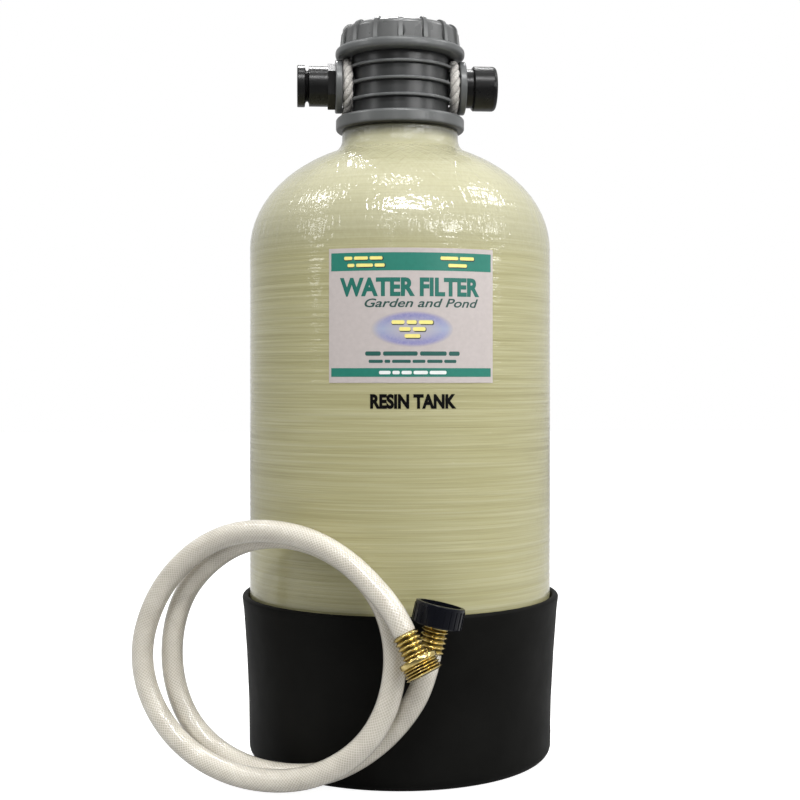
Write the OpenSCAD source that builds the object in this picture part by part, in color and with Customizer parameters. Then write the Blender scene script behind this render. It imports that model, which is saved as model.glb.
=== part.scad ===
// Portable mixed-bed water purifier: a wound resin tank in a rubber boot, a screwed
// head with a fill cap and two hose ports, and a loose fill hose beside it.
// Millimetres. The origin is on the tank's axis at the floor, +Z is up, -Y is the front
// with the label, and +X points out of the inlet port.

/* [Tank] */
// Outer radius of the wound shell
tank_r = 116; // [112:1:120]
// Height where the straight wall starts, above the floor
wall_low_z = 88; // [84:1:92]
// Height where the straight wall ends and the top dome starts
wall_high_z = 388; // [380:1:396]
// Height of the top dome, as if it had no neck
dome_h = 84; // [80:1:86]
// Thickness of the wound glass shell
winding_t = 3; // [2:0.5:4]
// Thickness of the plastic liner inside it
liner_t = 3; // [2:0.5:4]
// Outer radius of the tank's neck
neck_r = 45; // [44:0.5:47]
// Height of the neck's top edge
neck_z = 480; // [478:1:482]
// Height of the top of the resin bed
resin_z = 396; // [300:1:410]

/* [Boot] */
// Height of the rubber boot
boot_h = 124; // [118:1:128]
// Outer radius of the boot's rim
boot_rim_r = 122; // [121:0.5:124]
// Thickness of the boot's floor
boot_floor_t = 6; // [5:0.5:7]

/* [Label] */
// Width of the label, measured round the tank
label_w = 121; // [80:1:130]
// Height of the label's lower edge
label_z = 286; // [250:1:290]
// Height of the label
label_h = 94; // [60:1:94]

/* [Head] */
// Height of the two ports' common axis
port_z = 515; // [514:0.5:516]
// Radius of the head's waist
waist_r = 38; // [37:0.5:38]
// Radius of the three thin rings round the waist
fin_r = 42; // [40:0.5:43]
// Radius of the head's main bore
head_bore_r = 31.5; // [30:0.5:32]
// Radius of the bore through each port
port_bore_r = 7; // [5:0.5:7]

/* [Cap] */
// Number of grip ribs on the fill cap
cap_ribs = 15; // [9:1:18]
// Direction of one rib, from +X towards +Y, in degrees
cap_rib_turn = -94; // [-102:1:-80]
// Pitch of the fill cap's thread
cap_pitch = 4; // [3:0.5:4]

/* [Hose ends] */
// Outer radius of the hose
hose_r = 7.9; // [7.5:0.1:7.9]
// Crest radius of the male hose thread
male_thread_r = 13; // [12:0.1:13.2]
// Crest radius inside the female swivel nuts
female_thread_r = 13.2; // [13:0.1:13.4]
// Outer radius of the inlet's swivel nut
inlet_nut_r = 17.2; // [16.5:0.1:17.5]
// Outer radius of the hose's swivel nut
hose_nut_r = 17.4; // [16.5:0.1:17.5]

/* [Rope] */
// Radius of the rope handle
rope_r = 3.9; // [3:0.1:3.9]

/* [Hidden] */
$fn = 96;

// Gaps: between neighbours that don't move, between parts that do, and in a running fit
skin_gap = 0.02;
move_gap = 0.3;
run_gap = 0.06;

// Tank
boot_tank_z = boot_floor_t + skin_gap;
low_dome_h = wall_low_z - boot_tank_z;
fillet_r = 12;
liner_r = tank_r - winding_t;
inside_r = liner_r - liner_t;
liner_neck_r = neck_r - 3.5;
neck_bore_r = 36.1;
neck_thread_r = 35.9;
neck_core_r = 34.2;
neck_thread_pitch = 3.2;
neck_turns = 5;
spigot_z = 456;
riser_r = 13.35;
riser_bore_r = 10.5;
riser_low_z = 34;
riser_top_z = 507;
basket_r = 22;
basket_low_z = 15;
basket_top_z = 58;

// Head
ring_r = 49.8;
ring_top_z = 490.5;
flange_r = 50.2;
flange_low_z = 536.5;
flange_top_z = 544;
fin_t = 2.4;
fin_z = [502.4, 515.1, 527.8];
cap_neck_r = 40.4;
cap_neck_z = 554;
cap_thread_r = 42.1;
boss_r = 12.8;
disc_r = 20.5;
disc_in_x = 45.2;
disc_out_x = 50.4;
channel_x = 36.9;
channel_r = 22;
stub_r = 10.3;
stub_l = 15;
socket_r = 19;
socket_low_z = 488;
socket_top_z = 531;
chamber_top_z = 527;
cross_r = 12.5;
seal_r = 1.1;
seal_ring_r = 12.3;
neck_seal_r = 39.2;
socket_seal_r = 15.1;

// Cap
cap_low_z = flange_top_z + move_gap;
cap_top_z = 559.8;
cap_skirt_r = 45.6;
cap_shoulder_r = 44.3;
cap_bore_r = 42.6;
cap_plate_z = 556.8;
cap_round_r = 4.5;
rib_proud = 1.7;
rib_top = 1.3;
rib_angle = 4;
rib_in_r = 35;

// Swivel nuts, along their own axis from the tail's shoulder
nut_wall_t = 3.2;
stem_r = 8.5;
tail_flange_r = 12.6;
tail_flange_t = 2.2;
washer_r = 12.8;
washer_t = 2.3;
thread_pitch = 2.2;
washer_hole_r = 7;
collar_l = 5.6;
inlet_nut_x = disc_out_x + collar_l + move_gap;
inlet_nut_l = 18.6;
washer_z = nut_wall_t + tail_flange_t + 2 * move_gap;
outlet_end_x = 79.8;
outlet_r = 16;
outlet_mouth_r = 11;

// Hose ends: where the hose enters each ferrule, and which way it goes in
ferrule_l = 17;
ferrule_r = 9.1;
ferrule_valley_r = 8.5;
barb_r = 5.2;
tail_bore_r = 4.3;
shoulder_l = 1.2;
male_z = ferrule_l + skin_gap + shoulder_l;
male_l = 11.4;
hose_nut_z = ferrule_l + shoulder_l + move_gap;
hose_nut_l = 15;
end_a = [-10, -166, 121];
end_a_tilt = 150;
end_a_turn = -30;
end_b = [9, -145, 104];
end_b_tilt = 13;
end_b_turn = 10;
lead = 13;
hose_points = [[-26, -154, 146], [-46, -140, 165], [-70, -125, 178], [-97, -109, 183],
    [-124, -92, 180], [-149, -78, 168], [-170, -66, 148], [-185, -57, 123], [-193, -53, 93],
    [-189, -55, 63], [-174, -64, 37], [-152, -76, 19], [-126, -91, 10], [-99, -107, 9],
    [-72, -122, 15], [-47, -136, 30], [-28, -146, 52], [-17, -149, 80], [-15, -144, 111],
    [-24, -134, 139], [-43, -121, 160], [-67, -106, 173], [-94, -90, 177], [-121, -75, 171],
    [-144, -62, 155], [-162, -51, 132], [-171, -46, 103], [-171, -46, 72], [-161, -52, 43],
    [-141, -63, 22], [-115, -78, 11], [-88, -93, 9], [-61, -109, 14], [-37, -121, 28],
    [-17, -132, 47], [-1, -142, 71]];

// Rope: round the front of each boss, then back over the dome behind the head
rope_x = 41.1;
rope_ring_r = 17.4;
rope_end_x = 1;
sleeve_y = 76;
sleeve_z = 459;
rope_low = [[13, sleeve_y, sleeve_z], [23, 73, 462], [33, 62, 474], [39, 44, 489], [41, 22, 497]];
rope_high = [[41, 24, 532], [40, 46, 527], [37, 65, 509], [32, 80, 486], [24, 90, 462],
    [12, 95, 446]];
sleeve_l = 24;
sleeve_r = 5.2;

// Unit vector that leans by tilt from +Z towards the direction turn
function heading(tilt, turn) = [sin(tilt) * cos(turn), sin(tilt) * sin(turn), cos(tilt)];
function mirrored(points) = [for (p = points) [-p[0], p[1], p[2]]];
function backwards(points) = [for (i = [len(points) - 1 : -1 : 0]) points[i]];
function unit(v) = v / norm(v);
// Points round part of a circle or an ellipse in a profile
function arc(x, z, rx, rz, from, to, steps) =
    [for (i = [0 : steps]) let (a = from + (to - from) * i / steps) [x + rx * cos(a), z + rz * sin(a)]];

// Outline of a dome and neck, from the bottom of the tank to the top of its neck
function shell_side(r, inset, throat_r) =
    let (low_h = low_dome_h - inset, high_h = dome_h - inset)
    concat(arc(0, wall_low_z, r, low_h, -90, 0, 24),
        arc(0, wall_high_z, r, high_h, 0, acos(throat_r / r), 22), [[throat_r, neck_z]]);

// Outline of the wound shell's outside, with the fillet at the neck
function wound_side() =
    let (join_r = neck_r + fillet_r * 0.62,
        join_z = wall_high_z + dome_h * sin(acos(join_r / tank_r)),
        fillet_z = join_z + fillet_r * 0.926)
    concat(arc(0, wall_low_z, tank_r, low_dome_h, -90, 0, 32),
        arc(0, wall_high_z, tank_r, dome_h, 0, acos(join_r / tank_r), 28),
        arc(neck_r + fillet_r, fillet_z, fillet_r, fillet_r, 240, 180, 6), [[neck_r, neck_z]]);

// Centres of the hose's rings, from the male end to the swivel nut's end
hose_route = let (a = heading(end_a_tilt, end_a_turn), b = heading(end_b_tilt, end_b_turn))
    concat([end_a + a * (ferrule_l - 3), end_a - a * lead], hose_points,
        [end_b - b * lead, end_b + b * (ferrule_l - 3)]);

// The rope's turn round one boss, seen from +X, from underneath to on top
boss_turn = [for (i = [0 : 6]) let (a = -90 - 30 * i)
    [rope_x, rope_ring_r * cos(a), port_z + rope_ring_r * sin(a)]];
rope_side = concat(rope_low, boss_turn, rope_high);
rope_route = concat([[rope_end_x, sleeve_y, sleeve_z]], rope_side, [[0, 97, 441]],
    backwards(mirrored(rope_side)), [[-rope_end_x, sleeve_y, sleeve_z]]);

// Tube of radius r swept along a route, square to it, with its frame carried along
function tangent(route, i) = unit(route[min(i + 1, len(route) - 1)] - route[max(i - 1, 0)]);
function frames(route, i = 0, side = [0, 0, 1], made = []) =
    i == len(route) ? made :
    let (t = tangent(route, i), s = unit(side - t * (side * t)))
    frames(route, i + 1, s, concat(made, [[s, cross(t, s)]]));
module swept_tube(route, r, sides) {
    axes = frames(route);
    count = len(route);
    points = [for (i = [0 : count - 1]) for (k = [0 : sides - 1]) let (a = 360 * k / sides)
        route[i] + r * (cos(a) * axes[i][0] + sin(a) * axes[i][1])];
    walls = [for (i = [0 : count - 2]) for (k = [0 : sides - 1]) let (m = (k + 1) % sides)
        [i * sides + k, (i + 1) * sides + k, (i + 1) * sides + m, i * sides + m]];
    ends = [[for (k = [0 : sides - 1]) k],
        [for (k = [sides - 1 : -1 : 0]) (count - 1) * sides + k]];
    polyhedron(points = points, faces = concat(walls, ends), convexity = 10);
}

// Places children that are made along +Z onto a hose end
module on_end(p, tilt, turn) { translate(p) rotate([0, tilt, turn]) children(); }
// Places children that are made along +Z onto a port, pointing out of it
module on_port(side) { translate([0, 0, port_z]) rotate([0, 90 * side, 0]) children(); }
module tube(outer, inner, low, high) {
    translate([0, 0, low]) difference() {
        cylinder(r = outer, h = high - low);
        translate([0, 0, -1]) cylinder(r = inner, h = high - low + 2);
    }
}
module torus(ring, thick) { rotate_extrude() translate([ring, 0]) circle(r = thick, $fn = 32); }
// Disc with a rounded edge
module bullnose(r, low, high, round) {
    rotate_extrude() polygon(concat([[0, low]], arc(r - round, low + round, round, round, -90, 0, 6),
        arc(r - round, high - round, round, round, 0, 90, 6), [[0, high]]));
}

module tank_winding() {
    color("#cfcbaa") rotate_extrude() polygon(concat(wound_side(),
        backwards(shell_side(liner_r, winding_t, liner_neck_r))));
}

module tank_liner() {
    inset = winding_t + liner_t;
    crest_z = spigot_z + 3 + neck_thread_pitch / 2;
    color("ivory") {
        rotate_extrude() polygon(concat(
            shell_side(liner_r - skin_gap, winding_t + skin_gap, liner_neck_r - skin_gap),
            backwards(shell_side(inside_r, inset, neck_bore_r))));
        for (i = [2 : neck_turns - 1]) translate([0, 0, neck_thread_pitch * i])
            tube(neck_bore_r + 1, neck_core_r + 0.2, crest_z + 0.1, crest_z + 1.5);
    }
}

module resin_bed() {
    inset = winding_t + liner_t + skin_gap;
    color("darkorange") difference() {
        rotate_extrude() polygon(concat(
            arc(0, wall_low_z, inside_r - skin_gap, low_dome_h - inset, -90, 0, 24),
            [[inside_r - skin_gap, wall_high_z], [inside_r - 1, resin_z], [0, resin_z]]));
        cylinder(r = riser_r + 0.2, h = resin_z + 1);
        cylinder(r = basket_r + 0.2, h = basket_top_z + 0.2);
    }
}

module base_boot() {
    toe_r = 9;
    lip_r = 2.6;
    color("#151515") rotate_extrude() polygon(concat([[0, 0]],
        arc(boot_rim_r - 5.7 - toe_r, toe_r, toe_r, toe_r, -90, 0, 8),
        [[boot_rim_r - 5.2, 43], [boot_rim_r - 3.5, 80], [boot_rim_r - 1.2, 112]],
        arc(boot_rim_r - lip_r, boot_h - lip_r, lip_r, lip_r, 0, 180, 10),
        [[tank_r + 0.4, 110], [tank_r + 0.2, wall_low_z - 12], [boot_rim_r - 9.5, 58],
            [boot_rim_r - 10.5, 20], [boot_rim_r - 16, boot_floor_t], [0, boot_floor_t]]));
}

module tank_label() {
    spread = label_w / tank_r * 180 / PI;
    color("white") rotate([0, 0, -90 - spread / 2]) rotate_extrude(angle = spread)
        translate([tank_r + skin_gap, label_z]) square([0.3, label_h]);
}

// Outside of the head, solid, without its ports
module head_outside() {
    translate([0, 0, spigot_z]) cylinder(r = neck_core_r, h = neck_z - spigot_z + 1);
    for (i = [0 : neck_turns - 1]) translate([0, 0, spigot_z + 3 + neck_thread_pitch * i])
        cylinder(r = neck_thread_r, h = neck_thread_pitch / 2);
    bullnose(ring_r, neck_z + skin_gap, ring_top_z, 2.5);
    translate([0, 0, ring_top_z - 2]) cylinder(r = waist_r, h = flange_low_z - ring_top_z + 4);
    for (z = fin_z) bullnose(fin_r, z - fin_t / 2, z + fin_t / 2, 0.9);
    bullnose(flange_r, flange_low_z, flange_top_z, 3);
    translate([0, 0, flange_top_z - 1]) cylinder(r = cap_neck_r, h = cap_neck_z - flange_top_z + 1);
    for (i = [0 : 1]) translate([0, 0, flange_top_z + 2.4 + cap_pitch * i])
        cylinder(r = cap_thread_r, h = cap_pitch * 0.4);
}

module head_body() {
    seal_pocket_r = seal_ring_r + seal_r + 0.2;
    color("#6f7375") difference() {
        union() {
            difference() {
                head_outside();
                for (side = [-1, 1]) on_port(side) tube(channel_r, boss_r - 1, channel_x, disc_in_x);
                translate([0, 0, spigot_z - 1]) cylinder(r = head_bore_r, h = cap_neck_z - spigot_z + 2);
            }
            for (side = [-1, 1]) on_port(side) {
                translate([0, 0, head_bore_r + 1]) cylinder(r = boss_r, h = disc_in_x - head_bore_r);
                translate([0, 0, disc_in_x]) bullnose(disc_r, 0, disc_out_x - disc_in_x, 1);
            }
            translate([0, 0, socket_low_z]) cylinder(r = socket_r, h = socket_top_z - socket_low_z);
            on_port(-1) cylinder(r = cross_r, h = head_bore_r + 2);
        }
        on_port(-1) cylinder(r = port_bore_r, h = disc_out_x + 1);
        on_port(1) translate([0, 0, head_bore_r - 2]) cylinder(r = port_bore_r, h = disc_out_x - head_bore_r + 3);
        for (side = [-1, 1]) on_port(side) {
            translate([0, 0, disc_out_x - stub_l - 0.2]) cylinder(r = stub_r + skin_gap, h = stub_l + 1.2);
            translate([0, 0, disc_out_x - 2 * seal_r]) cylinder(r = seal_pocket_r, h = 3);
        }
        translate([0, 0, socket_low_z - 1]) cylinder(r = riser_r + skin_gap, h = riser_top_z - socket_low_z + 1.02);
        translate([0, 0, riser_top_z - 1]) cylinder(r = riser_bore_r, h = chamber_top_z - riser_top_z + 1);
        tube(socket_seal_r + 1.65, riser_r - 1, socket_low_z + 5, socket_low_z + 8.4);
        tube(neck_seal_r + 2, neck_seal_r - 2, neck_z - 1, neck_z + 3.6);
    }
}

module neck_o_ring() {
    color("#1c1c1c") translate([0, 0, neck_z + 1.8]) torus(neck_seal_r, 1.7);
}

module riser_o_ring() {
    color("#1c1c1c") translate([0, 0, socket_low_z + 6.7]) torus(socket_seal_r, 1.6);
}

module port_seals() {
    color("#1c1c1c") for (side = [-1, 1]) on_port(side)
        translate([0, 0, disc_out_x - seal_r]) torus(seal_ring_r, seal_r - skin_gap);
}

module fill_cap() {
    shoulder_z = cap_top_z - cap_round_r;
    rib_r = cap_skirt_r + rib_proud;
    color("#5d6164") {
        rotate_extrude() polygon(concat([[cap_bore_r, cap_low_z], [cap_skirt_r, cap_low_z]],
            arc(cap_shoulder_r - cap_round_r, shoulder_z, cap_round_r, cap_round_r, 0, 90, 8),
            [[0, cap_top_z], [0, cap_plate_z], [cap_bore_r, cap_plate_z]]));
        for (i = [0 : cap_ribs - 1]) rotate([0, 0, cap_rib_turn - rib_angle / 2 + 360 * i / cap_ribs])
            rotate_extrude(angle = rib_angle) polygon(concat(
                [[cap_skirt_r - 1.5, cap_low_z], [rib_r, cap_low_z]],
                arc(cap_shoulder_r + rib_proud - cap_round_r - 1.5, shoulder_z - 1.5 + rib_top,
                    cap_round_r + 1.5, cap_round_r + 1.5, 0, 90, 8),
                [[rib_in_r, cap_top_z], [rib_in_r, cap_top_z - 1], [cap_shoulder_r - 3, cap_plate_z + 1]]));
    }
}

module cap_gasket() {
    color("#1c1c1c") tube(cap_neck_r + 0.8, head_bore_r + 1,
        cap_neck_z + move_gap, cap_plate_z - move_gap);
}

module upper_basket() {
    slots = 24;
    low_z = 424;
    rim_z = 470;
    wall_r = head_bore_r - 0.5;
    color("white") difference() {
        union() {
            tube(wall_r, wall_r - 2, low_z, rim_z);
            tube(head_bore_r - skin_gap, wall_r - 2, rim_z - 3, rim_z);
            tube(wall_r, riser_r + 0.1, low_z, low_z + 2.5);
        }
        for (i = [0 : slots - 1]) rotate([0, 0, 360 * i / slots])
            translate([wall_r - 3, -0.5, low_z + 5]) cube([5, 1, rim_z - low_z - 14]);
    }
}

module riser_tube() {
    color("white") tube(riser_r, riser_bore_r, riser_low_z, riser_top_z);
}

module lower_basket() {
    slots = 18;
    color("white") difference() {
        union() {
            tube(basket_r, basket_r - 2, basket_low_z, basket_top_z);
            translate([0, 0, basket_low_z]) cylinder(r = basket_r, h = 2.5);
            tube(basket_r, riser_r + skin_gap, basket_top_z - 3, basket_top_z);
            tube(riser_r + 2.5, riser_r + skin_gap, riser_low_z, basket_top_z);
        }
        for (i = [0 : slots - 1]) rotate([0, 0, 360 * i / slots])
            translate([basket_r - 3, -0.5, basket_low_z + 5]) cube([5, 1, basket_top_z - basket_low_z - 12]);
    }
}

// Tail that a swivel nut turns on: shoulder at 0, then stem, then the flange inside the nut
module tail_head(shoulder_l) {
    nut_z = shoulder_l + move_gap;
    translate([0, 0, shoulder_l - 0.1]) cylinder(r = stem_r, h = nut_wall_t + 2 * move_gap + 0.2);
    translate([0, 0, nut_z + nut_wall_t + move_gap]) cylinder(r = tail_flange_r, h = tail_flange_t);
}

// Swivel nut of length l, open at its far end, with thread crests inside it
module swivel_nut(outer, l, round) {
    crest_l = 0.9;
    turns = floor((l - nut_wall_t - 7) / thread_pitch);
    difference() {
        rotate_extrude() polygon(concat([[0, 0], [outer - 1, 0], [outer, 1]],
            arc(outer - round, l - round, round, round, 0, 90, 8), [[0, l]]));
        translate([0, 0, -1]) cylinder(r = stem_r + run_gap, h = nut_wall_t + 2);
        translate([0, 0, nut_wall_t]) difference() {
            cylinder(r = female_thread_r + 1, h = l);
            for (i = [0 : turns - 1]) translate([0, 0, 5.4 + thread_pitch * i])
                tube(female_thread_r + 2, female_thread_r, 0, crest_l);
        }
    }
}

module washer() { tube(washer_r, washer_hole_r, 0, washer_t); }

module inlet_fitting() {
    collar_r = 14.9;
    color("#181818") on_port(1) difference() {
        union() {
            translate([0, 0, disc_out_x - stub_l]) cylinder(r = stub_r, h = stub_l + 1);
            translate([0, 0, disc_out_x + skin_gap]) cylinder(r = collar_r, h = collar_l - skin_gap);
            translate([0, 0, disc_out_x]) tail_head(collar_l);
        }
        cylinder(r = port_bore_r, h = 2 * disc_out_x);
    }
}

module inlet_swivel_nut() {
    color("#141414") on_port(1) translate([0, 0, inlet_nut_x]) swivel_nut(inlet_nut_r, inlet_nut_l, 3.2);
}

module inlet_washer() {
    color("#5a2d20") on_port(1) translate([0, 0, inlet_nut_x + washer_z]) washer();
}

module outlet_fitting() {
    hex_r = 17.9;
    body_r = 15.4;
    groove_r = 11.6;
    color("#141414") on_port(-1) difference() {
        union() {
            translate([0, 0, disc_out_x - stub_l]) cylinder(r = stub_r, h = stub_l + 1);
            translate([0, 0, disc_out_x + skin_gap]) cylinder(r = hex_r, h = 5.8, $fn = 6);
            rotate_extrude() polygon(concat(
                [[0, disc_out_x + 1], [body_r, disc_out_x + 1], [body_r, 70.6]],
                arc(body_r, 72.2, body_r - groove_r, 1.6, 270, 90, 8),
                [[outlet_r, 74.2]], arc(outlet_r - 0.6, outlet_end_x - 0.6, 0.6, 0.6, 0, 90, 3),
                [[0, outlet_end_x]]));
        }
        cylinder(r = port_bore_r, h = 2 * disc_out_x);
        translate([0, 0, outlet_end_x - 9]) cylinder(r = outlet_mouth_r, h = 10);
    }
}

module rope_handle() { color("#d8d4cc") swept_tube(rope_route, rope_r, 8); }

module rope_sleeve() {
    color("#d0d0d0") translate([0, sleeve_y, sleeve_z]) rotate([0, 90, 0])
        tube(sleeve_r, rope_r + 0.1, -sleeve_l / 2, sleeve_l / 2);
}

module hose_tube() { color("#e4e1d8") swept_tube(hose_route, hose_r, 12); }

// Crimped brass sleeve over the end of the hose
module ferrule() {
    crests = 5;
    step = ferrule_l / crests;
    rotate_extrude() polygon(concat([[hose_r + 0.05, 0]],
        [for (i = [0 : crests - 1]) for (k = [0 : 3])
            [[ferrule_valley_r, ferrule_r, ferrule_r, ferrule_valley_r][k], step * (i + 0.1 + 0.26 * k)]],
        [[ferrule_valley_r, ferrule_l], [hose_r + 0.05, ferrule_l]]));
}

module barb() {
    translate([0, 0, 3]) cylinder(r = barb_r, h = ferrule_l - 2);
    translate([0, 0, ferrule_l + skin_gap]) cylinder(r = ferrule_r - 0.2, h = shoulder_l);
}

module hose_ferrule_a() { color("goldenrod") on_end(end_a, end_a_tilt, end_a_turn) ferrule(); }

module hose_ferrule_b() { color("goldenrod") on_end(end_b, end_b_tilt, end_b_turn) ferrule(); }

module hose_male_end() {
    collar_r = 12.6;
    crests = 4;
    color("goldenrod") on_end(end_a, end_a_tilt, end_a_turn) difference() {
        union() {
            barb();
            translate([0, 0, male_z]) cylinder(r = collar_r, h = 2.6);
            translate([0, 0, male_z]) cylinder(r = male_thread_r - 1.1, h = male_l);
            for (i = [0 : crests - 1]) translate([0, 0, male_z + 3.4 + thread_pitch * i])
                cylinder(r = male_thread_r, h = 1.1);
        }
        cylinder(r = tail_bore_r, h = 100);
        translate([0, 0, male_z + male_l - 5]) cylinder(r = 9.5, h = 6);
    }
}

module hose_tail() {
    color("goldenrod") on_end(end_b, end_b_tilt, end_b_turn) difference() {
        union() {
            barb();
            translate([0, 0, ferrule_l]) tail_head(shoulder_l);
        }
        cylinder(r = tail_bore_r, h = 100);
    }
}

module hose_swivel_nut() {
    grips = 24;
    color("#12141c") on_end(end_b, end_b_tilt, end_b_turn) translate([0, 0, hose_nut_z]) {
        swivel_nut(hose_nut_r - 0.4, hose_nut_l, 0.8);
        for (i = [0 : grips - 1]) rotate([0, 0, 360 * i / grips])
            translate([hose_nut_r - 1.2, -0.9, 1]) cube([1.2, 1.8, hose_nut_l - 3]);
    }
}

module hose_washer() {
    color("#20242c") on_end(end_b, end_b_tilt, end_b_turn)
        translate([0, 0, hose_nut_z + washer_z]) washer();
}

tank_winding();
tank_liner();
resin_bed();
base_boot();
tank_label();
head_body();
neck_o_ring();
fill_cap();
cap_gasket();
upper_basket();
riser_tube();
riser_o_ring();
lower_basket();
inlet_fitting();
inlet_swivel_nut();
inlet_washer();
outlet_fitting();
port_seals();
rope_handle();
rope_sleeve();
hose_tube();
hose_ferrule_a();
hose_male_end();
hose_ferrule_b();
hose_tail();
hose_swivel_nut();
hose_washer();
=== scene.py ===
"""Looks for the portable resin tank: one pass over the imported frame, in metres."""

import bmesh
import bpy
import math
import numpy as np
from mathutils import Matrix, Vector


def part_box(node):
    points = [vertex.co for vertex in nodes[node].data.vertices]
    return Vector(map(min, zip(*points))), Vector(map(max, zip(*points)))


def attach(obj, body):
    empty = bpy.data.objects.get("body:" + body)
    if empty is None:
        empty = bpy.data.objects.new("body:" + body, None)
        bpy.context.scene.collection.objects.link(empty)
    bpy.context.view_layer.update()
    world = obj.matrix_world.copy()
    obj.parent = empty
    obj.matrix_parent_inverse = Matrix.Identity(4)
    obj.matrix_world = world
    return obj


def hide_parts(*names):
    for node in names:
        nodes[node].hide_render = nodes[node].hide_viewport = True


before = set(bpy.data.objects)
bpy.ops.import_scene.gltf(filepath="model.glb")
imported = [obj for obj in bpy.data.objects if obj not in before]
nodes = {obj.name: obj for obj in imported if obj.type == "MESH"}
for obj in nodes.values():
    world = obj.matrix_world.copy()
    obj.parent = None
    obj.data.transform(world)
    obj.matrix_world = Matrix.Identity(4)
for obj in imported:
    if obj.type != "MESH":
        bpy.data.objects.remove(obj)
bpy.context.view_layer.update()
MM = 0.001


def low(node):
    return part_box(node)[0]


def high(node):
    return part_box(node)[1]


# Places read from the frame
tank_r = high("tank_winding").x
neck_top = high("tank_winding").z
boot_top = high("base_boot").z
boot_r = high("base_boot").x
label_low = low("tank_label").z
label_high = high("tank_label").z
label_half_turn = math.asin(high("tank_label").x / (tank_r + 0.3 * MM))

# Shape of the tank, as in the part's source
WALL_LOW = 88 * MM
WALL_HIGH = 388 * MM
DOME_H = 84 * MM
LOW_DOME_H = WALL_LOW - low("tank_winding").z
NECK_R = 45 * MM
FILLET_R = 12 * MM
SHELL_T = 3 * MM
PORT_Z = 515 * MM
ROPE_LAY = 22 * MM


# --- Camera, lamps and backdrop ------------------------------------------------------------

CAMERA_TURN = math.radians(4.5)
CAMERA_DISTANCE = 1.080
CAMERA_HEIGHT = 0.2913
CAMERA_LENS = 62.44
CAMERA_SHIFT = -0.0309
MIDDLE = (0, 0, 0.4)


def add_camera():
    data = bpy.data.cameras.new("camera")
    data.sensor_width = 36
    data.lens = CAMERA_LENS
    data.shift_y = CAMERA_SHIFT
    data.clip_start = 0.01
    obj = bpy.data.objects.new("camera", data)
    obj.location = (-CAMERA_DISTANCE * math.sin(CAMERA_TURN),
                    -CAMERA_DISTANCE * math.cos(CAMERA_TURN), CAMERA_HEIGHT)
    obj.rotation_euler = (math.pi / 2, 0, -CAMERA_TURN)
    bpy.context.scene.collection.objects.link(obj)
    bpy.context.scene.camera = obj


def add_light(name, place, target, size, power):
    """A soft rectangular lamp at place, aimed at target. Its size is (width, height)."""
    data = bpy.data.lights.new(name, "AREA")
    data.shape = "RECTANGLE"
    data.size, data.size_y = size
    data.energy = power
    obj = bpy.data.objects.new(name, data)
    obj.location = place
    obj.rotation_euler = (Vector(target) - Vector(place)).to_track_quat("-Z", "Y").to_euler()
    bpy.context.scene.collection.objects.link(obj)


def add_world(front, back):
    """A white backdrop, and round the object a studio that is paler behind it than in front."""
    world = bpy.data.worlds.new("studio")
    world.use_nodes = True
    tree = world.node_tree
    place = tree.nodes.new("ShaderNodeTexCoord").outputs["Generated"]
    level = tree.nodes.new("ShaderNodeMapRange")
    level.interpolation_type = "SMOOTHSTEP"
    for name, value in (("From Min", -0.5), ("From Max", 0.9),
                        ("To Min", front), ("To Max", back)):
        level.inputs[name].default_value = value
    reach = tree.nodes.new("ShaderNodeVectorMath")
    reach.operation = "DOT_PRODUCT"
    tree.links.new(place, reach.inputs[0])
    reach.inputs[1].default_value = (0.4, 1.0, 1.0)
    tree.links.new(reach.outputs["Value"], level.inputs["Value"])
    seen = tree.nodes.new("ShaderNodeMath")
    seen.operation = "MAXIMUM"
    tree.links.new(tree.nodes.new("ShaderNodeLightPath").outputs["Is Camera Ray"], seen.inputs[0])
    tree.links.new(level.outputs[0], seen.inputs[1])
    tree.links.new(seen.outputs[0], tree.nodes["Background"].inputs["Strength"])
    tree.nodes["Background"].inputs["Color"].default_value = (1, 1, 1, 1)
    bpy.context.scene.world = world
    bpy.context.scene.view_settings.view_transform = "Standard"


# --- Material helpers ----------------------------------------------------------------------

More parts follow.
